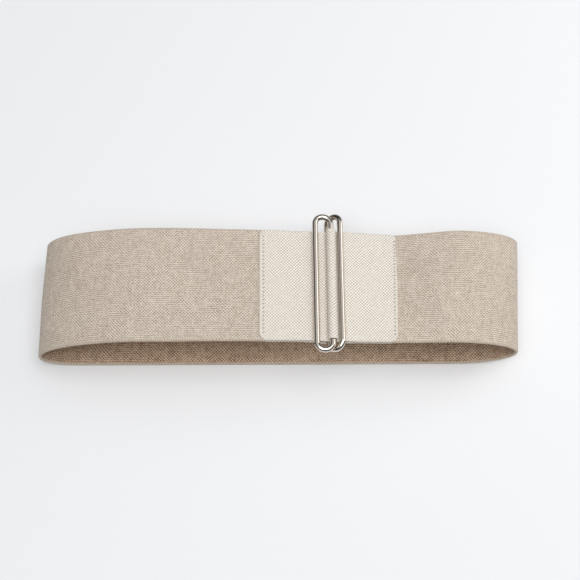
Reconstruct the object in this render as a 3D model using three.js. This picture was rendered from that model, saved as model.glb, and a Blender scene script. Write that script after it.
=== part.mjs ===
// Wide elastic stretch belt, fastened and lying on its back layer as a flattened loop.
// Millimetres, +Z up: X runs along the loop, Y across the belt, and the table is at Z = 0.
// The elastic's two cut ends sit inside folded tabs. Each tab is folded round one bar of a
// closed wire ring, and the two rings interlock: the right ring lies on top.

import * as THREE from 'three';

// Elastic loop
const LOOP_LENGTH = 314;
const LOOP_HEIGHT = 57;
const BAND_WIDTH = 75;
const BAND_THICKNESS = 2;

// Folded tabs, each one sheet with an upper and a lower leaf
const LEAF_THICKNESS = 1;
const LEFT_TAB_REACH = 44;
const RIGHT_TAB_REACH = 42.4;
const TAB_CORNER_RADIUS = 5.2;
const LEAF_CLEARANCE = 0.2;
const BAND_END_SETBACK = 13;
const RISE_FILLET = 1;

// Wire rings
const WIRE_DIAMETER = 3.8;
const RING_GAP = 6.3;
const RING_END_PLAY = 2.4;
const LEFT_RING_SLIDE = 0.95;
const RIGHT_RING_SLIDE = 0.4;
const WRAP_CLEARANCE = 0.3;
const REST_CLEARANCE = 0.3;
const FOLD_OFFSET = 1.7;

// The clasp lies on a flat stretch of the front layer: its place as a share of half the
// loop's length, the layer's height at both edges as shares of the loop's height, and the
// layer's rise per millimetre along X.
const CLASP_SEAT = { at: 0.202, near: 0.902, far: 0.837, pitch: -0.0875 };
const SEAT_MARGIN = 2.2;

// Height of the front layer between the two bends. Columns: place along X as a share of
// half the loop's length, and the near and far edge's heights as shares of its height.
const LEFT_FRONT = [
  { at: -0.32, near: 0.943, far: 0.973 },
  { at: -0.10, near: 0.938, far: 0.934 },
];
const RIGHT_FRONT = [
  { at: 0.47, near: 0.852, far: 0.744 },
  { at: 0.59, near: 0.858, far: 0.806 },
];

// Two quarter ellipses make each bend, one from crest to tip and one from tip to table.
// Columns: tip place, upper reach and lower reach as shares of half the loop's length,
// tip height and crest height as shares of its height.
const BENDS = {
  left: {
    near: { tip: 1.000, tipHeight: 0.293, crest: 0.942, upper: 0.490, lower: 0.166 },
    far: { tip: 0.985, tipHeight: 0.410, crest: 1.000, upper: 0.484, lower: 0.210 },
  },
  right: {
    near: { tip: 0.972, tipHeight: 0.405, crest: 0.863, upper: 0.300, lower: 0.255 },
    far: { tip: 1.000, tipHeight: 0.463, crest: 0.876, upper: 0.270, lower: 0.255 },
  },
};

// Steps across the belt and along the curves
const ACROSS_STEPS = 4;
const RUN_STEPS = 10;
const BEND_STEPS = 14;
const BACK_STEPS = 12;
const CORNER_STEPS = 7;
const LEAF_STEPS = 8;
const SLOPE_STEPS = 8;
const STEP_ANGLE = Math.PI / 14;
const RING_END_STEPS = 14;
const WIRE_SIDES = 14;

// Slopes of the leaves where they leave the folds
const LEFT_UPPER_SLOPE = THREE.MathUtils.degToRad(8);
const LEFT_LOWER_SLOPE = THREE.MathUtils.degToRad(20);
const RIGHT_LOWER_SLOPE = THREE.MathUtils.degToRad(25);

const HALF_LENGTH = LOOP_LENGTH / 2;
const WIRE_RADIUS = WIRE_DIAMETER / 2;
const BAR_SPACING = RING_GAP + WIRE_DIAMETER;
const BAR_LENGTH = BAND_WIDTH + 2 * RING_END_PLAY;

// Clasp section, seen along +Y, with x = 0 midway between the wrapped bars and z = 0 on the
// elastic's outer face
const FOLD_INNER = WIRE_RADIUS + WRAP_CLEARANCE;
const FOLD_MIDDLE = FOLD_INNER + LEAF_THICKNESS / 2;
const FOLD_OUTER = FOLD_INNER + LEAF_THICKNESS;
const UPPER_LEAF = LEAF_CLEARANCE + LEAF_THICKNESS / 2;
const LOWER_LEAF = -(BAND_THICKNESS + UPPER_LEAF);
const FREE_BAR_HEIGHT = LEAF_CLEARANCE + LEAF_THICKNESS + REST_CLEARANCE + WIRE_RADIUS;
const FOLD_SPACING = 2 * FOLD_OUTER + REST_CLEARANCE;
const FOLD_DROP = Math.sqrt(FOLD_SPACING ** 2 - FOLD_OFFSET ** 2);
const RIGHT_FOLD = new THREE.Vector2(FOLD_OFFSET / 2, FREE_BAR_HEIGHT);
const LEFT_FOLD = new THREE.Vector2(-FOLD_OFFSET / 2, FREE_BAR_HEIGHT - FOLD_DROP);
const LEFT_RING_TILT = Math.asin(FOLD_DROP / BAR_SPACING);
const LEFT_BAND_END = LEFT_FOLD.x - BAND_END_SETBACK;
const RIGHT_BAND_END = RIGHT_FOLD.x + BAND_END_SETBACK;
const LEFT_TAB_END = LEFT_FOLD.x - LEFT_TAB_REACH;
const RIGHT_TAB_END = RIGHT_FOLD.x + RIGHT_TAB_REACH;

// Clasp frame in the loop
const CLASP_X = CLASP_SEAT.at * HALF_LENGTH;
const CLASP_TILT = (CLASP_SEAT.far - CLASP_SEAT.near) * LOOP_HEIGHT / BAND_WIDTH;
const CLASP_HEIGHT = (CLASP_SEAT.far + CLASP_SEAT.near) * LOOP_HEIGHT / 2;
const SEAT_LEFT = CLASP_X + LEFT_BAND_END - SEAT_MARGIN;
const SEAT_RIGHT = CLASP_X + RIGHT_BAND_END + SEAT_MARGIN;

function seatPlane(x, y) {
  return CLASP_HEIGHT + CLASP_SEAT.pitch * (x - CLASP_X) + CLASP_TILT * y;
}

function framedOnSeat() {
  const along = new THREE.Vector3(1, 0, CLASP_SEAT.pitch).normalize();
  const up = new THREE.Vector3(-CLASP_SEAT.pitch, -CLASP_TILT, 1).normalize();
  const across = new THREE.Vector3().crossVectors(up, along);
  const frame = new THREE.Matrix4().makeBasis(along, across, up);
  return frame.setPosition(CLASP_X, 0, CLASP_HEIGHT);
}

const CLASP_FRAME = framedOnSeat();

// Smooth curve through knots { x, z, slope }: an inner knot with no slope of its own takes
// the one between its neighbours.
function heightOnKnots(knots, x) {
  let i = knots.findIndex((knot) => knot.x >= x);
  i = i < 0 ? knots.length - 1 : Math.max(i, 1);
  const [a, b] = [knots[i - 1], knots[i]];
  const span = b.x - a.x;
  const t = THREE.MathUtils.clamp((x - a.x) / span, 0, 1);
  const rise = (k) => knots[k].slope
    ?? (knots[k + 1].z - knots[k - 1].z) / (knots[k + 1].x - knots[k - 1].x);
  return (2 * t ** 3 - 3 * t ** 2 + 1) * a.z + (t ** 3 - 2 * t ** 2 + t) * span * rise(i - 1)
    + (3 * t ** 2 - 2 * t ** 3) * b.z + (t ** 3 - t ** 2) * span * rise(i);
}

function bendAt(side, edge) {
  const row = BENDS[side][edge];
  const sign = side === 'left' ? -1 : 1;
  return {
    tipX: sign * row.tip * HALF_LENGTH,
    tipZ: row.tipHeight * LOOP_HEIGHT,
    crestX: sign * (row.tip - row.upper) * HALF_LENGTH,
    crestZ: row.crest * LOOP_HEIGHT,
    footX: sign * (row.tip - row.lower) * HALF_LENGTH,
  };
}

function frontKnots(edge) {
  const side = edge === 'near' ? -1 : 1;
  const seatKnot = (x) => (
    { x, z: seatPlane(x, side * BAND_WIDTH / 2), slope: CLASP_SEAT.pitch });
  const rowKnot = (row) => ({ x: row.at * HALF_LENGTH, z: row[edge] * LOOP_HEIGHT });
  const crestKnot = (bend) => ({ x: bend.crestX, z: bend.crestZ, slope: 0 });
  return [
    crestKnot(bendAt('left', edge)), ...LEFT_FRONT.map(rowKnot), seatKnot(SEAT_LEFT),
    seatKnot(SEAT_RIGHT), ...RIGHT_FRONT.map(rowKnot), crestKnot(bendAt('right', edge)),
  ];
}

const FRONT_KNOTS = { near: frontKnots('near'), far: frontKnots('far') };

function frontHeight(x, y) {
  const share = y / BAND_WIDTH + 0.5;
  return THREE.MathUtils.lerp(
    heightOnKnots(FRONT_KNOTS.near, x), heightOnKnots(FRONT_KNOTS.far, x), share);
}

// A point of the clasp's own frame, carried along by the front layer's gentle bends
function onFrontLayer(x, y, z) {
  const point = new THREE.Vector3(x, y, z).applyMatrix4(CLASP_FRAME);
  point.z += frontHeight(point.x, point.y) - seatPlane(point.x, point.y);
  return point;
}

function range(from, to, steps) {
  return Array.from({ length: steps + 1 }, (_, i) => from + (to - from) * i / steps);
}

// Outer face of the elastic along one edge, from the cut end in the left tab round the
// back to the cut end in the right tab
function edgeOutline(edge) {
  const left = bendAt('left', edge);
  const right = bendAt('right', edge);
  const top = (x) => new THREE.Vector2(x, heightOnKnots(FRONT_KNOTS[edge], x));
  const upper = (bend, angle) => new THREE.Vector2(
    bend.crestX + (bend.tipX - bend.crestX) * Math.sin(angle),
    bend.tipZ + (bend.crestZ - bend.tipZ) * Math.cos(angle));
  const lower = (bend, angle) => new THREE.Vector2(
    bend.footX + (bend.tipX - bend.footX) * Math.cos(angle),
    bend.tipZ - bend.tipZ * Math.sin(angle));
  const quarter = range(0, Math.PI / 2, BEND_STEPS).slice(1);
  const leftClear = CLASP_X + LEFT_TAB_END - SEAT_MARGIN;
  const rightClear = CLASP_X + RIGHT_TAB_END + SEAT_MARGIN;
  return [
    ...range(CLASP_X + LEFT_BAND_END, leftClear, RUN_STEPS).map(top),
    ...range(leftClear, left.crestX, RUN_STEPS).slice(1).map(top),
    ...quarter.map((angle) => upper(left, angle)),
    ...quarter.map((angle) => lower(left, angle)),
    ...range(left.footX, right.footX, BACK_STEPS).slice(1).map((x) => new THREE.Vector2(x, 0)),
    ...quarter.map((angle) => lower(right, Math.PI / 2 - angle)),
    ...quarter.map((angle) => upper(right, Math.PI / 2 - angle)),
    ...range(right.crestX, rightClear, RUN_STEPS).slice(1).map(top),
    ...range(rightClear, CLASP_X + RIGHT_BAND_END, RUN_STEPS).slice(1).map(top),
  ];
}

// Unit normals of a polyline, to the right of its way
function rightNormals(points) {
  return points.map((point, i) => {
    const before = points[Math.max(i - 1, 0)];
    const after = points[Math.min(i + 1, points.length - 1)];
    const way = new THREE.Vector2().subVectors(after, before).normalize();
    return new THREE.Vector2(way.y, -way.x);
  });
}

// Closed solid through sections, each a row of outer points and a row of inner points that
// both run from the near edge to the far edge
function loftSections(sections) {
  const rings = sections.map(({ outer, inner }) => [...outer, ...inner.slice().reverse()]);
  const count = rings[0].length;
  const index = [];
  for (let row = 0; row + 1 < rings.length; row += 1) {
    for (let i = 0; i < count; i += 1) {
      const a = count * row + i;
      const b = count * row + (i + 1) % count;
      index.push(a, b, b + count, a, b + count, a + count);
    }
  }
  const last = count * (rings.length - 1);
  for (let i = 0; i + 1 < count / 2; i += 1) {
    const [a, b, c, d] = [i, i + 1, count - 2 - i, count - 1 - i];
    index.push(a, c, b, a, d, c, last + a, last + b, last + c, last + a, last + c, last + d);
  }
  const position = new Float32Array(rings.flat().flatMap((point) => point.toArray()));
  const geometry = new THREE.BufferGeometry();
  geometry.setAttribute('position', new THREE.BufferAttribute(position, 3));
  geometry.setIndex(index);
  geometry.computeVertexNormals();
  return geometry;
}

function bandGeometry() {
  const [near, far] = ['near', 'far'].map((edge) => {
    const outer = edgeOutline(edge);
    const normals = rightNormals(outer);
    const inner = outer.map(
      (point, i) => point.clone().addScaledVector(normals[i], -BAND_THICKNESS));
    return { outer, inner };
  });
  const acrossRow = (line, i) => range(0, 1, ACROSS_STEPS).map((share) => {
    const point = near[line][i].clone().lerp(far[line][i], share);
    return new THREE.Vector3(point.x, (share - 0.5) * BAND_WIDTH, point.y);
  });
  return loftSections(near.outer.map(
    (_, i) => ({ outer: acrossRow('outer', i), inner: acrossRow('inner', i) })));
}

// Curve pieces of a tab's section
function arc(centre, radius, from, to) {
  const steps = Math.ceil(Math.abs(to - from) / STEP_ANGLE);
  return range(from, to, steps).map((angle) => new THREE.Vector2(
    centre.x + radius * Math.cos(angle), centre.y + radius * Math.sin(angle)));
}

function easing(from, slopeFrom, to, slopeTo) {
  const handle = from.distanceTo(to) / 3;
  const curve = new THREE.CubicBezierCurve(
    from, from.clone().addScaledVector(slopeFrom, handle),
    to.clone().addScaledVector(slopeTo, -handle), to);
  return curve.getPoints(SLOPE_STEPS);
}

function leaf(outerX, innerX, z) {
  const way = Math.sign(innerX - outerX);
  const corner = range(0, Math.PI / 2, CORNER_STEPS).map(
    (angle) => outerX + way * TAB_CORNER_RADIUS * (1 - Math.cos(angle)));
  const rest = range(outerX + way * TAB_CORNER_RADIUS, innerX, LEAF_STEPS).slice(1);
  return [...corner, ...rest].map((x) => new THREE.Vector2(x, z));
}

function direction(angle) {
  return new THREE.Vector2(Math.cos(angle), Math.sin(angle));
}

// Middle line of the left tab: out along the upper leaf, down round the low bar, and back
// under the elastic
function leftTabLine() {
  const onFold = arc(LEFT_FOLD, FOLD_MIDDLE, Math.PI / 2 + LEFT_UPPER_SLOPE,
    -Math.PI / 2 - LEFT_LOWER_SLOPE);
  const upper = leaf(LEFT_TAB_END, LEFT_BAND_END, UPPER_LEAF);
  const lower = leaf(LEFT_TAB_END, LEFT_BAND_END + LEAF_THICKNESS, LOWER_LEAF).reverse();
  return [
    ...upper,
    ...easing(upper.at(-1), direction(0), onFold[0], direction(-LEFT_UPPER_SLOPE)).slice(1),
    ...onFold.slice(1),
    ...easing(onFold.at(-1), direction(Math.PI - LEFT_LOWER_SLOPE), lower[0],
      direction(Math.PI)).slice(1),
    ...lower.slice(1),
  ];
}

// Middle line of the right tab: under the left ring's free bar, up and over the high bar,
// along the left tab's fold, and back under the elastic
function rightTabLine() {
  const turn = FOLD_MIDDLE + RISE_FILLET;
  const rise = RIGHT_FOLD.y - UPPER_LEAF - RISE_FILLET;
  const fillet = new THREE.Vector2(
    RIGHT_FOLD.x + Math.sqrt(turn ** 2 - rise ** 2), UPPER_LEAF + RISE_FILLET);
  const toFillet = Math.atan2(fillet.y - RIGHT_FOLD.y, fillet.x - RIGHT_FOLD.x);
  const toLeftFold = Math.atan2(LEFT_FOLD.y - RIGHT_FOLD.y, LEFT_FOLD.x - RIGHT_FOLD.x);
  const upper = leaf(RIGHT_TAB_END, fillet.x, UPPER_LEAF);
  const lower = leaf(RIGHT_TAB_END, RIGHT_BAND_END - LEAF_THICKNESS, LOWER_LEAF).reverse();
  const rising = arc(fillet, RISE_FILLET, 1.5 * Math.PI, toFillet + Math.PI);
  const onFold = arc(RIGHT_FOLD, FOLD_MIDDLE, toFillet, toLeftFold + 2 * Math.PI);
  const besideFold = arc(LEFT_FOLD, FOLD_SPACING - FOLD_MIDDLE, toLeftFold + Math.PI,
    Math.PI / 2 - RIGHT_LOWER_SLOPE);
  return [
    ...upper, ...rising.slice(1), ...onFold.slice(1), ...besideFold.slice(1),
    ...easing(besideFold.at(-1), direction(-RIGHT_LOWER_SLOPE), lower[0],
      direction(0)).slice(1),
    ...lower.slice(1),
  ];
}

// Half the tab's width at a distance from its outer edge, with the rounded corner
function tabHalfWidth(distance) {
  const inset = Math.max(TAB_CORNER_RADIUS - distance, 0);
  const corner = TAB_CORNER_RADIUS - Math.sqrt(TAB_CORNER_RADIUS ** 2 - inset ** 2);
  return BAND_WIDTH / 2 - corner;
}

function tabGeometry(line, outerX) {
  const normals = rightNormals(line);
  const side = Math.sign(outerX);
  const sections = line.map((point, i) => {
    const half = tabHalfWidth(Math.abs(point.x - outerX));
    const face = (offset) => range(-half, half, ACROSS_STEPS).map((y) => onFrontLayer(
      point.x + normals[i].x * offset, y, point.y + normals[i].y * offset));
    return { outer: face(side * LEAF_THICKNESS / 2), inner: face(-side * LEAF_THICKNESS / 2) };
  });
  return loftSections(side > 0 ? sections : sections.reverse());
}

// Closed wire ring in its own plane: two straight bars along Y and two half-round ends
function ringGeometry() {
  const endRadius = BAR_SPACING / 2;
  const ends = [{ y: BAR_LENGTH / 2, start: 0 }, { y: -BAR_LENGTH / 2, start: Math.PI }];
  const stations = ends.flatMap(({ y, start }) => range(start, start + Math.PI, RING_END_STEPS)
    .map((angle) => ({ centre: new THREE.Vector3(0, y, 0), angle })));
  const position = [];
  const index = [];
  stations.forEach(({ centre, angle }, row) => {
    const outward = new THREE.Vector3(Math.cos(angle), Math.sin(angle), 0);
    const nextRow = (row + 1) % stations.length;
    for (let side = 0; side < WIRE_SIDES; side += 1) {
      const turn = 2 * Math.PI * side / WIRE_SIDES;
      const reach = endRadius + WIRE_RADIUS * Math.cos(turn);
      const point = centre.clone().addScaledVector(outward, reach);
      point.z += WIRE_RADIUS * Math.sin(turn);
      position.push(...point.toArray());
      const next = (side + 1) % WIRE_SIDES;
      const [a, b] = [row * WIRE_SIDES + side, row * WIRE_SIDES + next];
      const [c, d] = [nextRow * WIRE_SIDES + next, nextRow * WIRE_SIDES + side];
      index.push(a, c, b, a, d, c);
    }
  });
  const geometry = new THREE.BufferGeometry();
  geometry.setAttribute('position', new THREE.Float32BufferAttribute(position, 3));
  geometry.setIndex(index);
  geometry.computeVertexNormals();
  return geometry;
}

const elasticMaterial = new THREE.MeshStandardMaterial(
  { color: 0xb7a892, roughness: 0.95, metalness: 0 });
const tabMaterial = new THREE.MeshStandardMaterial(
  { color: 0xe5dbcf, roughness: 0.8, metalness: 0 });
const wireMaterial = new THREE.MeshStandardMaterial(
  { color: 0xc9c8c6, roughness: 0.15, metalness: 1 });

function namedMesh(name, geometry, material) {
  const mesh = new THREE.Mesh(geometry, material);
  mesh.name = name;
  return mesh;
}

function clasp() {
  const group = new THREE.Group();
  CLASP_FRAME.decompose(group.position, group.quaternion, group.scale);
  const rightRing = namedMesh('right_ring', ringGeometry(), wireMaterial);
  rightRing.position.set(
    RIGHT_FOLD.x - BAR_SPACING / 2, RIGHT_RING_SLIDE * RING_END_PLAY, RIGHT_FOLD.y);
  const leftRing = namedMesh('left_ring', ringGeometry(), wireMaterial);
  leftRing.position.set(
    LEFT_FOLD.x + Math.cos(LEFT_RING_TILT) * BAR_SPACING / 2,
    LEFT_RING_SLIDE * RING_END_PLAY,
    LEFT_FOLD.y + FOLD_DROP / 2);
  leftRing.rotation.y = -LEFT_RING_TILT;
  group.add(rightRing, leftRing);
  return group;
}

const belt = new THREE.Group();
belt.position.y = -(LEFT_RING_SLIDE + RIGHT_RING_SLIDE) * RING_END_PLAY / 2;
belt.add(
  namedMesh('elastic_band', bandGeometry(), elasticMaterial),
  namedMesh('left_tab', tabGeometry(leftTabLine(), LEFT_TAB_END), tabMaterial),
  namedMesh('right_tab', tabGeometry(rightTabLine(), RIGHT_TAB_END), tabMaterial),
  clasp(),
);

export default belt;
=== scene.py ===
"""Looks of a wide elastic stretch belt that lies on its back layer as a fastened loop.

Lengths are millimetres until a mesh is made; the scene itself is in metres, +Z up. X runs
along the loop, Y across the belt. The belt is one elastic band whose cut ends sit inside
two folded canvas tabs, each folded round one bar of a wire ring, with the rings interlocked.
"""
import math

import bpy
import numpy as np
from mathutils import Matrix, Vector


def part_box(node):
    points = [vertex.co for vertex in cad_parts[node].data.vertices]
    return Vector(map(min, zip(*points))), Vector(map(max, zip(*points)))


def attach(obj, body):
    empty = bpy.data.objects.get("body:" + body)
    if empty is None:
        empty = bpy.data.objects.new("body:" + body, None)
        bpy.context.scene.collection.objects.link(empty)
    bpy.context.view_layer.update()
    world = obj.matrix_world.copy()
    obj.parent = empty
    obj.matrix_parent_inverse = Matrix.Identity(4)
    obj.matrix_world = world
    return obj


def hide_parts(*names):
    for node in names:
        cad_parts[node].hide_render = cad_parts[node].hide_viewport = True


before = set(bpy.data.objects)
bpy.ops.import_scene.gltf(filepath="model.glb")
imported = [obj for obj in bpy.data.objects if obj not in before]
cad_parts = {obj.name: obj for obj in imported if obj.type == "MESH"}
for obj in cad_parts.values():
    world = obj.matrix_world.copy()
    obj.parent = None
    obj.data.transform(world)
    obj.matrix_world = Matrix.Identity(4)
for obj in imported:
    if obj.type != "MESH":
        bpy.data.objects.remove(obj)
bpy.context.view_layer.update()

MM = 0.001

# Sizes of the loop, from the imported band
BAND_LOW, BAND_HIGH = (np.array(corner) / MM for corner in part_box("elastic_band"))
LOOP_LENGTH, BAND_WIDTH, LOOP_HEIGHT = BAND_HIGH - BAND_LOW
HALF_LENGTH = LOOP_LENGTH / 2
MID_Y = (BAND_LOW[1] + BAND_HIGH[1]) / 2

# Sizes of the pieces, as in the solid model. Only the rings differ: with more end play they
# are 1 mm longer here, and they have slid a little further
BAND_THICKNESS = 2.0
SELVEDGE = 1.5
LEAF_THICKNESS = 1.0
LEFT_TAB_REACH = 44.0
RIGHT_TAB_REACH = 42.4
TAB_CORNER_RADIUS = 5.2
LEAF_CLEARANCE = 0.2
BAND_END_SETBACK = 13.0
RISE_FILLET = 1.0
WIRE_DIAMETER = 3.8
RING_GAP = 6.3
RING_END_PLAY = 2.9
LEFT_RING_SLIDE = 1.0
RIGHT_RING_SLIDE = 0.43
WRAP_CLEARANCE = 0.3
REST_CLEARANCE = 0.3
FOLD_OFFSET = 1.7
LEFT_UPPER_SLOPE = math.radians(8)
LEFT_LOWER_SLOPE = math.radians(20)
RIGHT_LOWER_SLOPE = math.radians(25)

# The flat seat of the clasp: its place, the layer's height at both edges and its slope
SEAT_AT, SEAT_NEAR, SEAT_FAR, SEAT_PITCH = 0.202, 0.902, 0.837, -0.0875
SEAT_MARGIN = 2.2

# Front layer between the bends: place, near height, far height, as shares of half the
# loop's length and of its height
LEFT_FRONT = ((-0.32, 0.943, 0.973), (-0.10, 0.938, 0.934))
RIGHT_FRONT = ((0.47, 0.852, 0.744), (0.59, 0.858, 0.806))

# Bends, as shares: tip place, tip height, crest height, upper reach, lower reach
BENDS = {
    ("left", "near"): (1.000, 0.293, 0.942, 0.490, 0.166),
    ("left", "far"): (0.985, 0.410, 1.000, 0.484, 0.210),
    ("right", "near"): (0.972, 0.405, 0.863, 0.300, 0.255),
    ("right", "far"): (1.000, 0.463, 0.876, 0.270, 0.255),
}

# Stitches. The dive is how deep a stitch's ends go under the leaf's face, the rise how far
# its middle stands above them, the hole gap each end's distance from the hole's middle, the
# lean the spread of its slant, and the end share what its radius keeps at its ends
STITCH_PITCH = 2.7
STITCH_RADIUS = 0.24
LEFT_STITCH_INSET = 2.6
RIGHT_STITCH_INSET = 1.9
STITCH_CORNER_INSET = 4.6
STITCH_DIVE = 0.34
STITCH_RISE = 0.36
STITCH_HOLE_GAP = 0.12
STITCH_LEAN = 0.05
THREAD_END_SHARE = 0.55

# How far the right tab's ends are cut out of square, fading over its reach from the end, and
# how far the long rims droop, within their reach of the edge. From a tab's end inwards the
# droop is full up to one distance and has ended at the other
RIGHT_TAB_SKEW = 1.3
SKEW_REACH = 25.0
RIM_DROOP = 0.6
DROOP_REACH = 1.2
DROOP_ENDS, DROOP_FULL = 30.0, 26.0

# Shallow relief, as depth and reach: the groove beside each selvedge, the valley along a row
# of stitches with its fade past the last hole, and the pit at each hole
GROOVE_DEPTH, GROOVE_REACH = 0.14, 0.3
SELVEDGE_CROWN = 0.05
VALLEY_DEPTH, VALLEY_REACH, VALLEY_FADE = 0.1, 0.9, 2.0
PIT_DEPTH, PIT_REACH = 0.32, 0.4

# The slack band's long waves: height, run and width for one radian, phase. They begin and
# are full at these distances from the band's ends and at these heights over the table
BAND_WAVES = ((0.22, 13.1, 21.0, 0.0), (0.14, 7.3, -11.0, 1.7))
WAVES_FROM_END = (30.0, 60.0)
WAVES_FROM_TABLE = (1.5, 9.0)

# Points along each stretch of the meshes
LEFT_TOP_STEPS, RIGHT_TOP_STEPS, BEND_POINTS, BACK_POINTS = 52, 34, 41, 116
FIELD_POINTS, EDGE_POINTS = 31, 11
LEAF_POINTS, EASING_POINTS = 80, 60
TAB_ROWS, TAB_COLUMNS, RIM_POINTS = 96, 181, 6
STITCH_POINTS, STITCH_SIDES = 9, 8
WIRE_END_POINTS, WIRE_BAR_POINTS, WIRE_SIDES = 37, 26, 28
FINE_STEP = 0.4
FINE_TURN = math.pi / 90

# The band's materials, in the order of its mesh
OUTER_SLOT, SELVEDGE_SLOT, INNER_SLOT = range(3)

# Derived sizes, as in the solid model
WIRE_RADIUS = WIRE_DIAMETER / 2
BAR_SPACING = RING_GAP + WIRE_DIAMETER
BAR_LENGTH = BAND_WIDTH + 2 * RING_END_PLAY
FOLD_INNER = WIRE_RADIUS + WRAP_CLEARANCE
FOLD_MIDDLE = FOLD_INNER + LEAF_THICKNESS / 2
FOLD_OUTER = FOLD_INNER + LEAF_THICKNESS
UPPER_LEAF = LEAF_CLEARANCE + LEAF_THICKNESS / 2
LOWER_LEAF = -(BAND_THICKNESS + UPPER_LEAF)
FREE_BAR_HEIGHT = LEAF_CLEARANCE + LEAF_THICKNESS + REST_CLEARANCE + WIRE_RADIUS
FOLD_SPACING = 2 * FOLD_OUTER + REST_CLEARANCE
FOLD_DROP = math.sqrt(FOLD_SPACING ** 2 - FOLD_OFFSET ** 2)
RIGHT_FOLD = np.array((FOLD_OFFSET / 2, FREE_BAR_HEIGHT))
LEFT_FOLD = np.array((-FOLD_OFFSET / 2, FREE_BAR_HEIGHT - FOLD_DROP))
LEFT_RING_TILT = math.asin(FOLD_DROP / BAR_SPACING)
LEFT_BAND_END = LEFT_FOLD[0] - BAND_END_SETBACK
RIGHT_BAND_END = RIGHT_FOLD[0] + BAND_END_SETBACK
LEFT_TAB_END = LEFT_FOLD[0] - LEFT_TAB_REACH
RIGHT_TAB_END = RIGHT_FOLD[0] + RIGHT_TAB_REACH
CLASP_X = SEAT_AT * HALF_LENGTH
CLASP_TILT = (SEAT_FAR - SEAT_NEAR) * LOOP_HEIGHT / BAND_WIDTH
CLASP_HEIGHT = (SEAT_FAR + SEAT_NEAR) * LOOP_HEIGHT / 2


# Shape of the front layer

def unit(vector):
    return vector / np.linalg.norm(vector)


CLASP_ALONG = unit(np.array((1.0, 0.0, SEAT_PITCH)))
CLASP_UP = unit(np.array((-SEAT_PITCH, -CLASP_TILT, 1.0)))
CLASP_ACROSS = np.cross(CLASP_UP, CLASP_ALONG)
CLASP_ORIGIN = np.array((CLASP_X, 0.0, CLASP_HEIGHT))


def seat_plane(x, y):
    return CLASP_HEIGHT + SEAT_PITCH * (x - CLASP_X) + CLASP_TILT * y


def bend_at(side, edge):
    """Tip, crest and foot of one bend at one edge, as (x, z) and the foot's x."""
    tip, tip_height, crest, upper, lower = BENDS[side, edge]
    sign = -1 if side == "left" else 1
    return (
        np.array((sign * tip * HALF_LENGTH, tip_height * LOOP_HEIGHT)),
        np.array((sign * (tip - upper) * HALF_LENGTH, crest * LOOP_HEIGHT)),
        sign * (tip - lower) * HALF_LENGTH,
    )


def front_knots(edge):
    """Knots (x, z, slope) of the front layer; a slope of None is between its neighbours."""
    y = BAND_WIDTH / 2 * (-1 if edge == "near" else 1)
    seat = [
        (x, seat_plane(x, y), SEAT_PITCH)
        for x in (CLASP_X + LEFT_BAND_END - SEAT_MARGIN, CLASP_X + RIGHT_BAND_END + SEAT_MARGIN)
    ]

    def rows(table):
        return [
            (at * HALF_LENGTH, (near if edge == "near" else far) * LOOP_HEIGHT, None)
            for at, near, far in table
        ]

    left_crest, right_crest = bend_at("left", edge)[1], bend_at("right", edge)[1]
    return [(*left_crest, 0.0), *rows(LEFT_FRONT), *seat, *rows(RIGHT_FRONT), (*right_crest, 0.0)]


def height_on_knots(knots, x):
    """Cubic curve through the knots, for an array of places."""
    x = np.asarray(x, float)
    place = np.array([knot[0] for knot in knots])
    height = np.array([knot[1] for knot in knots])
    slope = np.array([
        knot[2] if knot[2] is not None
        else (height[i + 1] - height[i - 1]) / (place[i + 1] - place[i - 1])
        for i, knot in enumerate(knots)
    ])
    i = np.clip(np.searchsorted(place, x), 1, len(knots) - 1)
    span = place[i] - place[i - 1]
    t = np.clip((x - place[i - 1]) / span, 0, 1)
    return (
        (2 * t ** 3 - 3 * t ** 2 + 1) * height[i - 1]
        + (t ** 3 - 2 * t ** 2 + t) * span * slope[i - 1]
        + (3 * t ** 2 - 2 * t ** 3) * height[i]
        + (t ** 3 - t ** 2) * span * slope[i]
    )


FRONT_KNOTS = {edge: front_knots(edge) for edge in ("near", "far")}


def front_height(x, y):
    share = y / BAND_WIDTH + 0.5
    near, far = (height_on_knots(FRONT_KNOTS[edge], x) for edge in ("near", "far"))
    return near + (far - near) * share


def in_clasp(points):
    """Points of the clasp's own frame, in the loop's frame."""
    x, y, z = (points[..., i, None] for i in range(3))
    return CLASP_ORIGIN + x * CLASP_ALONG + y * CLASP_ACROSS + z * CLASP_UP


def on_front_layer(points):
    """Points of the clasp's own frame, carried along by the front layer's gentle bends."""
    placed = in_clasp(points)
    x, y = placed[..., 0], placed[..., 1]
    placed[..., 2] += front_height(x, y) - seat_plane(x, y)
    return placed


# Mesh making

def mesh_object(name, points, faces, materials, face_uvs=None, face_materials=None):
    """A smooth mesh piece. points are in the loop's frame, in millimetres; face_uvs holds one
    (u, v) for each corner of each face, in metres."""
    placed = (np.asarray(points, float).reshape(-1, 3) + (0, MID_Y, 0)) * MM
    mesh = bpy.data.meshes.new(name)
    mesh.from_pydata(placed.tolist(), [], faces)
    for material in materials:
        mesh.materials.append(material)
    if face_materials is not None:
        mesh.polygons.foreach_set("material_index", np.asarray(face_materials, np.int32))
    if face_uvs is not None:
        layer = mesh.uv_layers.new(name="weave")
        layer.data.foreach_set("uv", np.concatenate(face_uvs).astype(np.float32).ravel())
    mesh.polygons.foreach_set("use_smooth", np.ones(len(faces), bool))
    mesh.validate()
    mesh.update()
    piece = bpy.data.objects.new(name, mesh)
    bpy.context.scene.collection.objects.link(piece)
    return piece


def run_lengths(points):
    """Distance along a polyline, at each of its points."""
    steps = np.linalg.norm(np.diff(points, axis=0), axis=1)
    return np.concatenate(([0.0], np.cumsum(steps)))


def right_normals(points):
    way = np.gradient(points, run_lengths(points), axis=0)
    way /= np.linalg.norm(way, axis=1)[:, None]
    return np.stack((way[:, 1], -way[:, 0]), axis=1)


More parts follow.
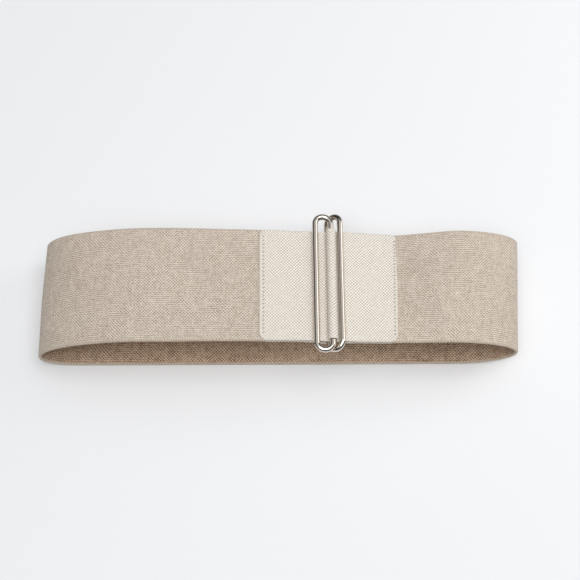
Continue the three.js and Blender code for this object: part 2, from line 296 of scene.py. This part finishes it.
def smooth_step(low, high, value):
    t = np.clip((value - low) / (high - low), 0, 1)
    return t * t * (3 - 2 * t)


# Elastic band

def band_outline(edge):
    """Outer face of the band along one edge, from the cut end in the left tab round the back
    to the cut end in the right tab."""
    left_tip, left_crest, left_foot = bend_at("left", edge)
    right_tip, right_crest, right_foot = bend_at("right", edge)

    def top(start, end, steps):
        x = np.linspace(start, end, steps + 1)
        return np.stack((x, height_on_knots(FRONT_KNOTS[edge], x)), axis=1)

    def upper(tip, crest, turn):
        return np.stack((
            crest[0] + (tip[0] - crest[0]) * np.sin(turn),
            tip[1] + (crest[1] - tip[1]) * np.cos(turn),
        ), axis=1)

    def lower(tip, foot, turn):
        return np.stack((
            foot + (tip[0] - foot) * np.cos(turn), tip[1] - tip[1] * np.sin(turn)), axis=1)

    quarter = np.linspace(0, math.pi / 2, BEND_POINTS)
    back = np.linspace(left_foot, right_foot, BACK_POINTS)
    left_end, right_end = CLASP_X + LEFT_BAND_END, CLASP_X + RIGHT_BAND_END
    return np.concatenate((
        top(left_end, left_crest[0], LEFT_TOP_STEPS),
        upper(left_tip, left_crest, quarter)[1:],
        lower(left_tip, left_foot, quarter)[1:],
        np.stack((back, np.zeros_like(back)), axis=1)[1:],
        lower(right_tip, right_foot, quarter[::-1])[1:],
        upper(right_tip, right_crest, quarter[::-1])[1:],
        top(right_crest[0], right_end, RIGHT_TOP_STEPS)[1:],
    ))


def band_profile():
    """Section of the band, round from the near edge of the outer face: place across, depth
    under the outer face, and the material of the stretch after each point."""
    radius = BAND_THICKNESS / 2
    half = BAND_WIDTH / 2
    reach = half - radius
    field_edge = half - SELVEDGE
    rim = np.array((0.0, 0.35, 0.7, 1.0, 1.2, 1.45, 1.8, 2.4))
    field = np.linspace(rim[-1] - reach, reach - rim[-1], FIELD_POINTS)
    face = np.concatenate((rim - reach, field[1:-1], reach - rim[::-1]))
    groove = GROOVE_DEPTH * np.exp(-((np.abs(face) - field_edge) / GROOVE_REACH) ** 2)
    relief = groove - SELVEDGE_CROWN * smooth_step(field_edge, reach, np.abs(face))
    turn = np.linspace(0, math.pi, EDGE_POINTS)[1:-1]
    edge_across = reach + radius * np.sin(turn)
    edge_depth = radius - radius * np.cos(turn)
    across = np.concatenate((face, edge_across, face[::-1], -edge_across))
    depth = np.concatenate((relief, edge_depth, BAND_THICKNESS - relief[::-1], edge_depth[::-1]))
    between = np.stack((across, np.roll(across, -1))).mean(0)
    slots = np.where(np.arange(len(across)) < len(face), OUTER_SLOT, INNER_SLOT)
    slots[np.abs(between) > field_edge] = SELVEDGE_SLOT
    return across, depth, slots


def make_band(materials):
    """The whole band as one closed skin, and the run of its outer face."""
    near, far = band_outline("near"), band_outline("far")
    near_out, far_out = right_normals(near), right_normals(far)
    across, depth, slots = band_profile()
    share = (across / BAND_WIDTH + 0.5)[None, :, None]
    base = near[:, None] + (far - near)[:, None] * share
    out = near_out[:, None] + (far_out - near_out)[:, None] * share
    out /= np.linalg.norm(out, axis=2)[..., None]
    run = (run_lengths(near) + run_lengths(far)) / 2

    # A slack band is never quite even: long shallow waves, none under the tabs or where it
    # rests on the table
    free = smooth_step(*WAVES_FROM_END, run) * smooth_step(*WAVES_FROM_END, run[-1] - run)
    lift = smooth_step(*WAVES_FROM_TABLE, np.minimum(near[:, 1], far[:, 1]))
    wave = sum(
        height * np.sin(run[:, None] / length + across / width + phase)
        for height, length, width, phase in BAND_WAVES
    ) * (free * lift)[:, None]
    flat = base + out * (wave - depth)[..., None]
    points = np.stack((flat[..., 0], np.broadcast_to(across, flat.shape[:2]), flat[..., 1]), axis=2)

    section = np.stack((across, depth), axis=1)
    girth = across[0] + run_lengths(np.concatenate((section, section[:1])))
    rows, count = points.shape[:2]
    faces, uvs, face_slots = [], [], []
    for i in range(rows - 1):
        for j in range(count):
            a, b = i * count + j, i * count + (j + 1) % count
            faces.append((a, b, b + count, a + count))
            uvs.append(np.array((
                (run[i], girth[j]), (run[i], girth[j + 1]),
                (run[i + 1], girth[j + 1]), (run[i + 1], girth[j]))) * MM)
            face_slots.append(slots[j])
    for i, order in ((0, range(count - 1, -1, -1)), (rows - 1, range(count))):
        faces.append(tuple(i * count + j for j in order))
        uvs.append(np.array([(run[i] + depth[j], across[j]) for j in order]) * MM)
        face_slots.append(SELVEDGE_SLOT)
    return mesh_object("elastic", points, faces, materials, uvs, face_slots), run[-1]


# Folded tabs

def arc(centre, radius, start, end):
    turn = np.linspace(start, end, math.ceil(abs(end - start) / FINE_TURN) + 1)
    return centre + radius * np.stack((np.cos(turn), np.sin(turn)), axis=1)


def straight(start_x, end_x, z):
    x = np.linspace(start_x, end_x, LEAF_POINTS)
    return np.stack((x, np.full_like(x, z)), axis=1)


def direction(turn):
    return np.array((math.cos(turn), math.sin(turn)))


def easing(start, way_start, end, way_end):
    """Cubic Bezier curve with handles of a third of its chord."""
    handle = np.linalg.norm(end - start) / 3
    one, two = start + way_start * handle, end - way_end * handle
    t = np.linspace(0, 1, EASING_POINTS)[:, None]
    return ((1 - t) ** 3 * start + 3 * (1 - t) ** 2 * t * one
            + 3 * (1 - t) * t ** 2 * two + t ** 3 * end)


def joined(*parts):
    """One line from parts that meet, each meeting point once."""
    line = np.concatenate([parts[0]] + [part[1:] for part in parts[1:]])
    keep = np.concatenate(([True], np.linalg.norm(np.diff(line, axis=0), axis=1) > 1e-6))
    return line[keep]


def left_tab_line():
    """Middle line of the left tab: out along the upper leaf, down round the low bar, and
    back under the elastic."""
    on_fold = arc(LEFT_FOLD, FOLD_MIDDLE, math.pi / 2 + LEFT_UPPER_SLOPE,
                  -math.pi / 2 - LEFT_LOWER_SLOPE)
    upper = straight(LEFT_TAB_END, LEFT_BAND_END, UPPER_LEAF)
    lower = straight(LEFT_BAND_END + LEAF_THICKNESS, LEFT_TAB_END, LOWER_LEAF)
    return joined(
        upper, easing(upper[-1], direction(0), on_fold[0], direction(-LEFT_UPPER_SLOPE)),
        on_fold, easing(on_fold[-1], direction(math.pi - LEFT_LOWER_SLOPE), lower[0],
                        direction(math.pi)), lower)


def right_tab_line():
    """Middle line of the right tab: under the left ring's free bar, up and over the high
    bar, along the left tab's fold, and back under the elastic."""
    turn = FOLD_MIDDLE + RISE_FILLET
    rise = RIGHT_FOLD[1] - UPPER_LEAF - RISE_FILLET
    fillet = np.array((RIGHT_FOLD[0] + math.sqrt(turn ** 2 - rise ** 2), UPPER_LEAF + RISE_FILLET))
    to_fillet = math.atan2(*(fillet - RIGHT_FOLD)[::-1])
    to_left = math.atan2(*(LEFT_FOLD - RIGHT_FOLD)[::-1])
    upper = straight(RIGHT_TAB_END, fillet[0], UPPER_LEAF)
    lower = straight(RIGHT_BAND_END - LEAF_THICKNESS, RIGHT_TAB_END, LOWER_LEAF)
    rising = arc(fillet, RISE_FILLET, 1.5 * math.pi, to_fillet + math.pi)
    on_fold = arc(RIGHT_FOLD, FOLD_MIDDLE, to_fillet, to_left + 2 * math.pi)
    beside = arc(LEFT_FOLD, FOLD_SPACING - FOLD_MIDDLE, to_left + math.pi,
                 math.pi / 2 - RIGHT_LOWER_SLOPE)
    return joined(
        upper, rising, on_fold, beside,
        easing(beside[-1], direction(-RIGHT_LOWER_SLOPE), lower[0], direction(0)), lower)


class Tab:
    """A folded tab: places are a distance along its middle line and a distance across."""

    def __init__(self, line, outward, stitch_inset, skew):
        self.line, self.outward = line, outward
        self.stitch_inset, self.skew = stitch_inset, skew
        self.run = run_lengths(line)
        self.normals = right_normals(line) * outward
        self.length = self.run[-1]

    def point(self, along, across, proud):
        """Points a distance proud of the middle line, outwards from the fold. The ends are cut
        a little out of square, and the long edges of both leaves close in on the elastic."""
        from_end = np.minimum(along, self.length - along)
        side = np.where(along < self.length / 2, -1, 1) * across / BAND_WIDTH * 2
        along = along + self.skew * side * smooth_step(SKEW_REACH, 0, from_end)
        from_rim = BAND_WIDTH / 2 - np.abs(across)
        proud = proud - RIM_DROOP * smooth_step(DROOP_REACH, 0, from_rim) * (
            smooth_step(DROOP_ENDS, DROOP_FULL, from_end))
        x, z, out_x, out_z = (
            np.interp(along, self.run, values) for values in (*self.line.T, *self.normals.T))
        out = np.hypot(out_x, out_z)
        return on_front_layer(np.stack(np.broadcast_arrays(
            x + out_x / out * proud, across, z + out_z / out * proud), axis=-1))

    def half_width(self, along):
        """Half the flat sheet's width, less at its rounded corners."""
        inset = np.maximum(TAB_CORNER_RADIUS - np.minimum(along, self.length - along), 0)
        corner = TAB_CORNER_RADIUS - np.sqrt(np.maximum(TAB_CORNER_RADIUS ** 2 - inset ** 2, 0))
        return BAND_WIDTH / 2 - corner

    def edge_distance(self, along, across):
        """Distance in from the rounded outline of the flat sheet."""
        over_x = np.abs(along - self.length / 2) - (self.length / 2 - TAB_CORNER_RADIUS)
        over_y = np.abs(across) - (BAND_WIDTH / 2 - TAB_CORNER_RADIUS)
        beyond = np.hypot(np.maximum(over_x, 0), np.maximum(over_y, 0))
        return TAB_CORNER_RADIUS - beyond - np.minimum(np.maximum(over_x, over_y), 0)

    def stitch_rows(self):
        return (self.stitch_inset, self.length - self.stitch_inset)


def stitch_holes():
    """Places across of the holes of one row, even on both sides of the middle."""
    reach = BAND_WIDTH / 2 - STITCH_CORNER_INSET
    count = int(2 * reach / STITCH_PITCH)
    return (np.arange(count + 1) - count / 2) * STITCH_PITCH


def make_tab(name, tab, materials, u_sign):
    """One closed sheet with a rounded rim, drawn in a little by its stitching. Its rows are
    fine at the rounded corners; u_sign turns the weave's places round."""
    radius = LEAF_THICKNESS / 2
    rim = radius * (1 - np.cos(np.linspace(0, math.pi / 2, RIM_POINTS)))
    fine = np.arange(2 * FINE_STEP, TAB_CORNER_RADIUS + FINE_STEP, FINE_STEP)
    inner_start = TAB_CORNER_RADIUS + 2 * FINE_STEP
    inner = np.linspace(inner_start, tab.length - inner_start, TAB_ROWS)
    along = np.concatenate((rim, fine, inner, tab.length - fine[::-1], tab.length - rim[::-1]))
    half = tab.half_width(along)[:, None]
    field = np.linspace(-1, 1, TAB_COLUMNS)[None, :] * (half - radius)
    across = np.concatenate((rim[:-1] - half, field, half - rim[-2::-1]), axis=1)
    along = np.broadcast_to(along[:, None], across.shape)
    inside = np.clip(tab.edge_distance(along, across) / radius, 0, 1)
    thick = radius * np.sqrt(np.maximum(1 - (1 - inside) ** 2, 0))

    pulled = np.zeros_like(across)
    holes = stitch_holes()
    for row in tab.stitch_rows():
        from_row = along - row
        valley = VALLEY_DEPTH * np.exp(-(from_row / VALLEY_REACH) ** 2)
        valley *= smooth_step(holes[-1] + VALLEY_FADE, holes[-1], np.abs(across))
        nearest = holes[np.clip(np.round((across - holes[0]) / STITCH_PITCH), 0,
                                len(holes) - 1).astype(int)]
        from_hole = from_row ** 2 + (across - nearest) ** 2
        pulled += valley + PIT_DEPTH * np.exp(-from_hole / PIT_REACH ** 2)

    shape = across.shape
    outer = tab.point(along, across, thick - np.where(thick > 0.8 * radius, pulled, 0))
    under = tab.point(along, across, -thick)
    edge = np.zeros(shape, bool)
    edge[[0, -1], :] = edge[:, [0, -1]] = True
    outer_ids = np.arange(outer[..., 0].size).reshape(shape)
    under_ids = outer_ids.copy()
    under_ids[~edge] = outer_ids.size + np.arange((~edge).sum())
    points = np.concatenate((outer.reshape(-1, 3), under[~edge]))

    faces, uvs = [], []
    place = np.stack((along * u_sign, across), axis=2) * MM
    for ids, flip in ((outer_ids, tab.outward > 0), (under_ids, tab.outward < 0)):
        for i in range(shape[0] - 1):
            for j in range(shape[1] - 1):
                corners = [(i, j), (i, j + 1), (i + 1, j + 1), (i + 1, j)]
                if flip:
                    corners.reverse()
                faces.append(tuple(int(ids[corner]) for corner in corners))
                uvs.append(np.array([place[corner] for corner in corners]))
    return mesh_object(name, points, faces, materials, uvs)


def tube(centres, outward, radii, sides):
    """Points and faces of a closed tube through centres, with the given radii."""
    way = np.gradient(centres, axis=0)
    way /= np.linalg.norm(way, axis=1)[:, None]
    side = np.cross(way, outward)
    side /= np.linalg.norm(side, axis=1)[:, None]
    up = np.cross(side, way)
    turn = np.arange(sides) * 2 * math.pi / sides
    ring = np.cos(turn)[None, :, None] * side[:, None] + np.sin(turn)[None, :, None] * up[:, None]
    points = (centres[:, None] + ring * radii[:, None, None]).reshape(-1, 3)
    faces = []
    for i in range(len(centres) - 1):
        for j in range(sides):
            a, b = i * sides + j, i * sides + (j + 1) % sides
            faces.append((a, a + sides, b + sides, b))
    last = (len(centres) - 1) * sides
    faces.append(tuple(range(sides)))
    faces.append(tuple(last + j for j in reversed(range(sides))))
    return points, faces


def make_stitching(name, tab, materials):
    """A row of thread stitches on each leaf, each one diving into a hole at both ends."""
    points, faces = [], []
    holes = stitch_holes()
    t = np.linspace(0, 1, STITCH_POINTS)
    arch = np.sin(math.pi * t)
    height = LEAF_THICKNESS / 2 - STITCH_DIVE + STITCH_RISE * arch ** 0.7
    radii = STITCH_RADIUS * (THREAD_END_SHARE + (1 - THREAD_END_SHARE) * arch ** 0.5)
    jitter = np.random.default_rng(11)
    for row in tab.stitch_rows():
        for start, end in zip(holes[:-1], holes[1:]):
            lean = jitter.normal(0, STITCH_LEAN)
            across = start + STITCH_HOLE_GAP + (end - start - 2 * STITCH_HOLE_GAP) * t
            along = row + lean * (2 * t - 1)
            centres = tab.point(along, across, height)
            outward = tab.point(along, across, height + 1) - centres
            more, more_faces = tube(centres, outward, radii, STITCH_SIDES)
            base = sum(len(part) for part in points)
            points.append(more)
            faces += [tuple(base + corner for corner in face) for face in more_faces]
    return mesh_object(name, np.concatenate(points), faces, materials)


# Wire rings

def make_ring(name, centre, tilt, materials):
    """Closed wire ring: two straight bars across the belt and two half-round ends, turned by
    tilt about the belt's width. It is drawn round from the right end of its far end."""
    end_radius = BAR_SPACING / 2
    sides = WIRE_SIDES
    turn = np.linspace(0, math.pi, WIRE_END_POINTS)
    end_out = np.stack((np.cos(turn), np.sin(turn)), axis=1)
    far = end_radius * end_out + (0, BAR_LENGTH / 2)
    bar = np.linspace(BAR_LENGTH / 2, -BAR_LENGTH / 2, WIRE_BAR_POINTS)[1:-1]
    left = np.stack((np.full_like(bar, -end_radius), bar), axis=1)
    left_out = np.tile((-1.0, 0.0), (len(bar), 1))
    line = np.concatenate((far, left, -far, -left))
    out = np.concatenate((end_out, left_out, -end_out, -left_out))
    round_wire = np.arange(sides) * 2 * math.pi / sides
    flat = line[:, None] + WIRE_RADIUS * np.cos(round_wire)[None, :, None] * out[:, None]
    rise = np.broadcast_to(WIRE_RADIUS * np.sin(round_wire), flat.shape[:2])
    local = np.stack((
        flat[..., 0] * math.cos(tilt) - rise * math.sin(tilt) + centre[0],
        flat[..., 1] + centre[1],
        flat[..., 0] * math.sin(tilt) + rise * math.cos(tilt) + centre[2]), axis=2)
    run = run_lengths(np.concatenate((line, line[:1])))
    girth = np.arange(sides + 1) * 2 * math.pi * WIRE_RADIUS / sides
    rows = len(line)
    faces, uvs = [], []
    for i in range(rows):
        for j in range(sides):
            a, b = i * sides + j, i * sides + (j + 1) % sides
            c, d = (i + 1) % rows * sides + (j + 1) % sides, (i + 1) % rows * sides + j
            faces.append((d, c, b, a))
            uvs.append(np.array((
                (run[i + 1], girth[j]), (run[i + 1], girth[j + 1]),
                (run[i], girth[j + 1]), (run[i], girth[j]))) * MM)
    return mesh_object(name, in_clasp(local), faces, materials, uvs)


# Materials

def srgb(red, green, blue):
    """Linear colour of an 8-bit sRGB one."""
    def linear(value):
        value /= 255
        return value / 12.92 if value <= 0.04045 else ((value + 0.055) / 1.055) ** 2.4
    return (*map(linear, (red, green, blue)), 1.0)


class Term:
    """A shader value that takes part in sums, and adds the Math nodes for them."""

    def __init__(self, tree, socket):
        self.tree, self.socket = tree, socket

    def math(self, operation, *others):
        node = self.tree.nodes.new("ShaderNodeMath")
        node.operation = operation
        for slot, term in zip(node.inputs, (self, *others)):
            if isinstance(term, Term):
                self.tree.links.new(term.socket, slot)
            else:
                slot.default_value = term
        return Term(self.tree, node.outputs[0])

    def __add__(self, other):
        return self.math("ADD", other)

    def __sub__(self, other):
        return self.math("SUBTRACT", other)

    def __mul__(self, other):
        return self.math("MULTIPLY", other)

    def clamped(self, low, high):
        return self.math("MAXIMUM", low).math("MINIMUM", high)

    def wave(self, period):
        """Cosine of the value with a period."""
        return (self * (2 * math.pi / period)).math("COSINE")


class Finish:
    """A material under construction, with its weave places in millimetres."""

    def __init__(self, name):
        self.material = bpy.data.materials.new(name)
        self.material.use_nodes = True
        self.tree = self.material.node_tree
        self.shader = self.tree.nodes["Principled BSDF"]
        place = self.tree.nodes.new("ShaderNodeUVMap")
        parts = self.tree.nodes.new("ShaderNodeSeparateXYZ")
        self.tree.links.new(place.outputs[0], parts.inputs[0])
        self.along, self.across = (
            Term(self.tree, parts.outputs[i]) * (1 / MM) for i in range(2))

    def noise(self, length, width, detail=2.0, offset=0.0):
        """Soft noise from 0 to 1 with patches of that length and width, in millimetres."""
        join = self.tree.nodes.new("ShaderNodeCombineXYZ")
        for slot, term in zip(join.inputs, (self.along * (1 / length), self.across * (1 / width))):
            self.tree.links.new(term.socket, slot)
        join.inputs[2].default_value = offset
        node = self.tree.nodes.new("ShaderNodeTexNoise")
        node.inputs["Scale"].default_value = 1.0
        node.inputs["Detail"].default_value = detail
        self.tree.links.new(join.outputs[0], node.inputs["Vector"])
        return Term(self.tree, node.outputs[0])

    def colour(self, factor, dark, light):
        """Adds a mix from dark to light and makes it the base colour. Either colour may be an
        earlier mix."""
        mix = self.tree.nodes.new("ShaderNodeMix")
        mix.data_type = "RGBA"
        self.tree.links.new(factor.clamped(0.0, 1.0).socket, mix.inputs["Factor"])
        for slot, colour in ((mix.inputs[6], dark), (mix.inputs[7], light)):
            if isinstance(colour, tuple):
                slot.default_value = colour
            else:
                self.tree.links.new(colour, slot)
        self.tree.links.new(mix.outputs[2], self.shader.inputs["Base Color"])
        return mix.outputs[2]

    def relief(self, height, depth):
        """Bump of that depth in millimetres, where height goes from 0 to 1."""
        bump = self.tree.nodes.new("ShaderNodeBump")
        bump.inputs["Strength"].default_value = 1.0
        bump.inputs["Distance"].default_value = depth * MM
        self.tree.links.new(height.socket, bump.inputs["Height"])
        self.tree.links.new(bump.outputs[0], self.shader.inputs["Normal"])

    def roughness(self, value):
        self.tree.links.new(value.socket, self.shader.inputs["Roughness"])


def weave(finish, pitch, slant, counter, ribs):
    """Lattice of a plain weave with that thread pitch, about -1 to 1. The two diagonals come
    and go in soft patches, as threads crowd and spread, and give way to finer lengthwise ribs
    in others."""
    along = finish.along + (finish.noise(9, 5, offset=3.1) - 0.5) * 0.5
    across = finish.across + (finish.noise(14, 6, offset=7.7) - 0.5) * 0.4
    period = 2 * pitch
    one = (along - across).wave(period)
    two = (along + across).wave(period)
    rows = across.wave(period * 0.66)
    ribbed = ((finish.noise(17, 9, offset=9.4) - 0.43) * 5.0).clamped(0.0, 1.0) * ribs
    share_one = ((finish.noise(5, 4, offset=1.3) - 0.3) * 2.5).clamped(0.4, 1.0) * slant
    share_two = ((finish.noise(4, 5, offset=5.9) - 0.3) * 2.5).clamped(0.4, 1.0) * counter
    uneven = finish.noise(1.3, 1.3, 1.0, 2.7) * 2.0
    lattice = (one * share_one + two * share_two) * (ribbed * -1.2 + 1)
    return (lattice + rows * ribbed) * uneven


CLOTH_ROUGHNESS = 0.88
CLOTH_SPECULAR = 0.25
FIELD_SHEEN, SELVEDGE_SHEEN = 0.1, 0.2
# Painted shade in the stitch holes: the grey that a tab's cloth is darkened to at each hole
HOLE_SHADE_COLOUR = srgb(112, 108, 108)


def fabric(name, dark, light, pitch, slant, counter, ribs, streaks, patches, depth, tab=None):
    """Woven cloth of light and dark yarn, with slubs along and across and fine fibres. slant,
    counter and ribs weigh the weave's parts, streaks the slubs and patches the slow changes;
    depth is the bumps'. A tab's cloth is pressed smooth along its edges and has painted shade,
    a dark grey, in the hole at each stitch's ends."""
    finish = Finish(name)
    threads = weave(finish, pitch, slant, counter, ribs)
    if tab:
        half = tab.length / 2
        from_end = (finish.along.math("ABSOLUTE") - half).math("ABSOLUTE") * -1 + half
        from_edge = finish.across.math("ABSOLUTE") * -1 + BAND_WIDTH / 2
        rim = from_end.math("MINIMUM", from_edge)
        threads = threads * ((rim - 0.5) * 0.7).clamped(0.12, 1.0)
        from_row = (from_end - tab.stitch_inset).math("ABSOLUTE")
        near_row = (from_row * -1.6 + 1.35).clamped(0.0, 1.0)
        pulse = (finish.across - stitch_holes()[0]).wave(STITCH_PITCH)
        at_hole = (pulse * 1.6 - 0.7).clamped(0.0, 1.0)
        on_row = (from_edge - STITCH_CORNER_INSET + 1.0).clamped(0.0, 1.0)
        holes = near_row * at_hole * on_row
    slubs = finish.noise(4.5, 0.8, 2.0, 2.2) - 0.5
    cross_slubs = finish.noise(0.8, 4, 2.0, 4.4) - 0.5
    cloudy = finish.noise(38, 24, 2.0, 6.6) + finish.noise(6, 21, 2.0, 1.9) - 1.0
    fibres = finish.noise(0.9, 0.7, 2.0, 8.8) - 0.5
    tone = (threads * 0.85 + slubs * streaks + cross_slubs * (streaks * 0.9)
            + cloudy * patches + fibres * 0.5 + 0.5)
    cloth = finish.colour(tone, dark, light)
    # Painted shade: each stitch hole is darkened to a grey
    if tab:
        finish.colour(holes, cloth, HOLE_SHADE_COLOUR)
    finish.relief(threads * 0.4 + fibres * 0.35 + slubs * 0.3 + 0.5, depth)
    finish.roughness(threads * -0.05 + CLOTH_ROUGHNESS)
    finish.shader.inputs["Sheen Weight"].default_value = FIELD_SHEEN
    finish.shader.inputs["Sheen Roughness"].default_value = 0.45
    finish.shader.inputs["Specular IOR Level"].default_value = CLOTH_SPECULAR
    return finish.material


def selvedge_material():
    """Closely packed edge yarns: small loops one after another along the edge."""
    finish = Finish("elastic_selvedge")
    loop_pitch, yarn_pitch = 1.4, 0.8
    loops = finish.along.wave(loop_pitch) * 0.5 + finish.across.wave(yarn_pitch) * 0.25
    slubs = finish.noise(5, 0.7, 2.0, 1.1) - 0.5
    finish.colour(loops * 0.42 + slubs * 0.7 + 0.5, srgb(150, 134, 117), srgb(226, 212, 195))
    finish.relief(loops * 0.5 + slubs * 0.3 + 0.5, 0.18)
    finish.roughness(slubs * 0.1 + CLOTH_ROUGHNESS)
    finish.shader.inputs["Sheen Weight"].default_value = SELVEDGE_SHEEN
    finish.shader.inputs["Specular IOR Level"].default_value = CLOTH_SPECULAR
    return finish.material


def thread_material():
    """Pale sewing thread; its fine noise goes by place, as the stitches have no UV map."""
    finish = Finish("stitch_thread")
    texture = finish.tree.nodes.new("ShaderNodeTexCoord")
    noise = finish.tree.nodes.new("ShaderNodeTexNoise")
    noise.inputs["Scale"].default_value = 3000
    finish.tree.links.new(texture.outputs["Object"], noise.inputs["Vector"])
    strands = Term(finish.tree, noise.outputs[0])
    finish.colour(strands, srgb(205, 198, 186), srgb(232, 226, 216))
    finish.relief(strands, 0.05)
    finish.roughness(strands * 0.2 + 0.6)
    return finish.material


def nickel_material():
    """Bright nickel plate with faint handling marks and a slightly uneven wire."""
    finish = Finish("nickel_wire")
    smears = finish.noise(9, 2.5, 3.0, 0.7)
    drawn = finish.noise(30, 0.35, 2.0, 5.1)
    finish.colour(smears * 0.6 + drawn * 0.4, srgb(201, 192, 181), srgb(224, 215, 204))
    finish.relief(smears * 0.8 + drawn * 0.2, 0.001)
    finish.roughness(smears * 0.08 + drawn * 0.05 + 0.03)
    finish.shader.inputs["Metallic"].default_value = 1.0
    return finish.material


# Pieces

OUTER = fabric("elastic_outer", dark=srgb(149, 132, 116), light=srgb(233, 220, 205),
               pitch=1.0, slant=0.5, counter=0.5, ribs=0.42, streaks=0.7, patches=0.12,
               depth=0.25)
# The inner face is the same cloth as the outer. Its darker, browner colours are painted shade: the
# shade inside the loop and the brown light bounced there.
INNER = fabric("elastic_inner_painted_shade", dark=srgb(96, 73, 54), light=srgb(232, 205, 178),
               pitch=1.05, slant=0.55, counter=0.6, ribs=0.3, streaks=0.8, patches=0.3,
               depth=0.3)
THREAD = thread_material()
NICKEL = nickel_material()

elastic, band_length = make_band([OUTER, selvedge_material(), INNER])
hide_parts("elastic_band")
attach(elastic, "root")

LEFT_TAB = Tab(left_tab_line(), -1, LEFT_STITCH_INSET, 0.0)
RIGHT_TAB = Tab(right_tab_line(), 1, RIGHT_STITCH_INSET, RIGHT_TAB_SKEW)
for side, tab, u_sign in (("left", LEFT_TAB, 1), ("right", RIGHT_TAB, -1)):
    canvas = fabric(f"{side}_tab_canvas", dark=srgb(185, 174, 160), light=srgb(253, 247, 238),
                    pitch=1.0, slant=0.78, counter=0.75, ribs=0.05, streaks=0.25,
                    patches=0.05, depth=0.25, tab=tab)
    sheet = make_tab(f"{side}_tab_sheet", tab, [canvas], u_sign)
    stitching = make_stitching(f"{side}_tab_stitching", tab, [THREAD])
    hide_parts(f"{side}_tab")
    for piece in (sheet, stitching):
        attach(piece, "root")

right_ring = make_ring("right_ring_wire", (
    RIGHT_FOLD[0] - BAR_SPACING / 2, RIGHT_RING_SLIDE * RING_END_PLAY, RIGHT_FOLD[1]),
    0.0, [NICKEL])
left_ring = make_ring("left_ring_wire", (
    LEFT_FOLD[0] + math.cos(LEFT_RING_TILT) * BAR_SPACING / 2,
    LEFT_RING_SLIDE * RING_END_PLAY, LEFT_FOLD[1] + FOLD_DROP / 2),
    LEFT_RING_TILT, [NICKEL])
for side, ring in (("left", left_ring), ("right", right_ring)):
    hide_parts(f"{side}_ring")
    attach(ring, "root")


# Floor, light and camera, in metres

FLOOR_REACH = 20.0
FLOOR_DROP = 0.0002


def floor_material():
    material = bpy.data.materials.new("pale_floor")
    material.use_nodes = True
    shader = material.node_tree.nodes["Principled BSDF"]
    shader.inputs["Base Color"].default_value = (0.86, 0.865, 0.875, 1)
    shader.inputs["Roughness"].default_value = 0.75
    shader.inputs["Specular IOR Level"].default_value = 0.2
    return material


floor_mesh = bpy.data.meshes.new("floor")
floor_corners = ((-1, -1), (1, -1), (1, 1), (-1, 1))
floor_mesh.from_pydata(
    [(x * FLOOR_REACH, y * FLOOR_REACH, -FLOOR_DROP) for x, y in floor_corners], [],
    [(0, 1, 2, 3)])
floor_mesh.materials.append(floor_material())
floor = bpy.data.objects.new("floor", floor_mesh)
bpy.context.scene.collection.objects.link(floor)


def area_light(name, place, target, size, watts, colour):
    data = bpy.data.lights.new(name, "AREA")
    data.shape = "RECTANGLE"
    data.size, data.size_y = size
    data.energy = watts
    data.color = colour
    light = bpy.data.objects.new(name, data)
    light.location = place
    light.rotation_euler = (Vector(target) - Vector(place)).to_track_quat("-Z", "Y").to_euler()
    bpy.context.scene.collection.objects.link(light)


area_light("softbox", place=(0.85, -0.1, 3.1), target=(0.0, 0.0, 0.0), size=(1.9, 1.9),
           watts=33.0, colour=(1.0, 1.0, 1.0))
area_light("lamp", place=(-0.35, -0.85, 3.0), target=(0.0, 0.0, 0.0), size=(1.5, 1.5),
           watts=32.0, colour=(1.0, 0.99, 0.975))
area_light("window", place=(0.88, 0.30, 0.50), target=(0.0, 0.0, 0.02), size=(0.6, 0.7),
           watts=2.5, colour=(1.0, 0.995, 0.98))

# The room's own light grows with the height of its direction, from its dim walls to its
# bright ceiling: strength gained with height, strength taken off, least and most
ROOM_GAIN, ROOM_OFFSET, ROOM_LEAST, ROOM_MOST = 1.9, 0.98, 0.06, 0.85

world = bpy.data.worlds.new("room")
world.use_nodes = True
bpy.context.scene.world = world
background = world.node_tree.nodes["Background"]
background.inputs["Color"].default_value = (0.93, 0.96, 1.0, 1)
parts = world.node_tree.nodes.new("ShaderNodeSeparateXYZ")
way = world.node_tree.nodes.new("ShaderNodeTexCoord")
world.node_tree.links.new(way.outputs["Generated"], parts.inputs[0])
height = Term(world.node_tree, parts.outputs[2])
strength = (height * ROOM_GAIN - ROOM_OFFSET).clamped(ROOM_LEAST, ROOM_MOST)
world.node_tree.links.new(strength.socket, background.inputs["Strength"])

# The camera looks down at 70 degrees, from 800 mm, rolled a little. Its focal length was
# measured in pixels of the square frame
CAMERA_PLACE = (0.00645, -0.25994, 0.75175)
FRAME_PIXELS = 580
FOCAL_PIXELS = 1181
ELEVATION = math.radians(70)
ROLL = math.radians(-0.24)
SENSOR = 36.0

camera_data = bpy.data.cameras.new("camera")
camera_data.sensor_width = SENSOR
camera_data.lens = FOCAL_PIXELS * SENSOR / FRAME_PIXELS
camera = bpy.data.objects.new("camera", camera_data)
bpy.context.scene.collection.objects.link(camera)
bpy.context.scene.camera = camera
back = Vector((0, -math.cos(ELEVATION), math.sin(ELEVATION)))
level = Vector((1, 0, 0))
upright = Vector((0, math.sin(ELEVATION), math.cos(ELEVATION)))
right = level * math.cos(ROLL) + upright * math.sin(ROLL)
above = upright * math.cos(ROLL) - level * math.sin(ROLL)
turned = Matrix((right, above, back)).transposed().to_4x4()
camera.matrix_world = Matrix.Translation(CAMERA_PLACE) @ turned

bpy.context.scene.view_settings.view_transform = "Standard"
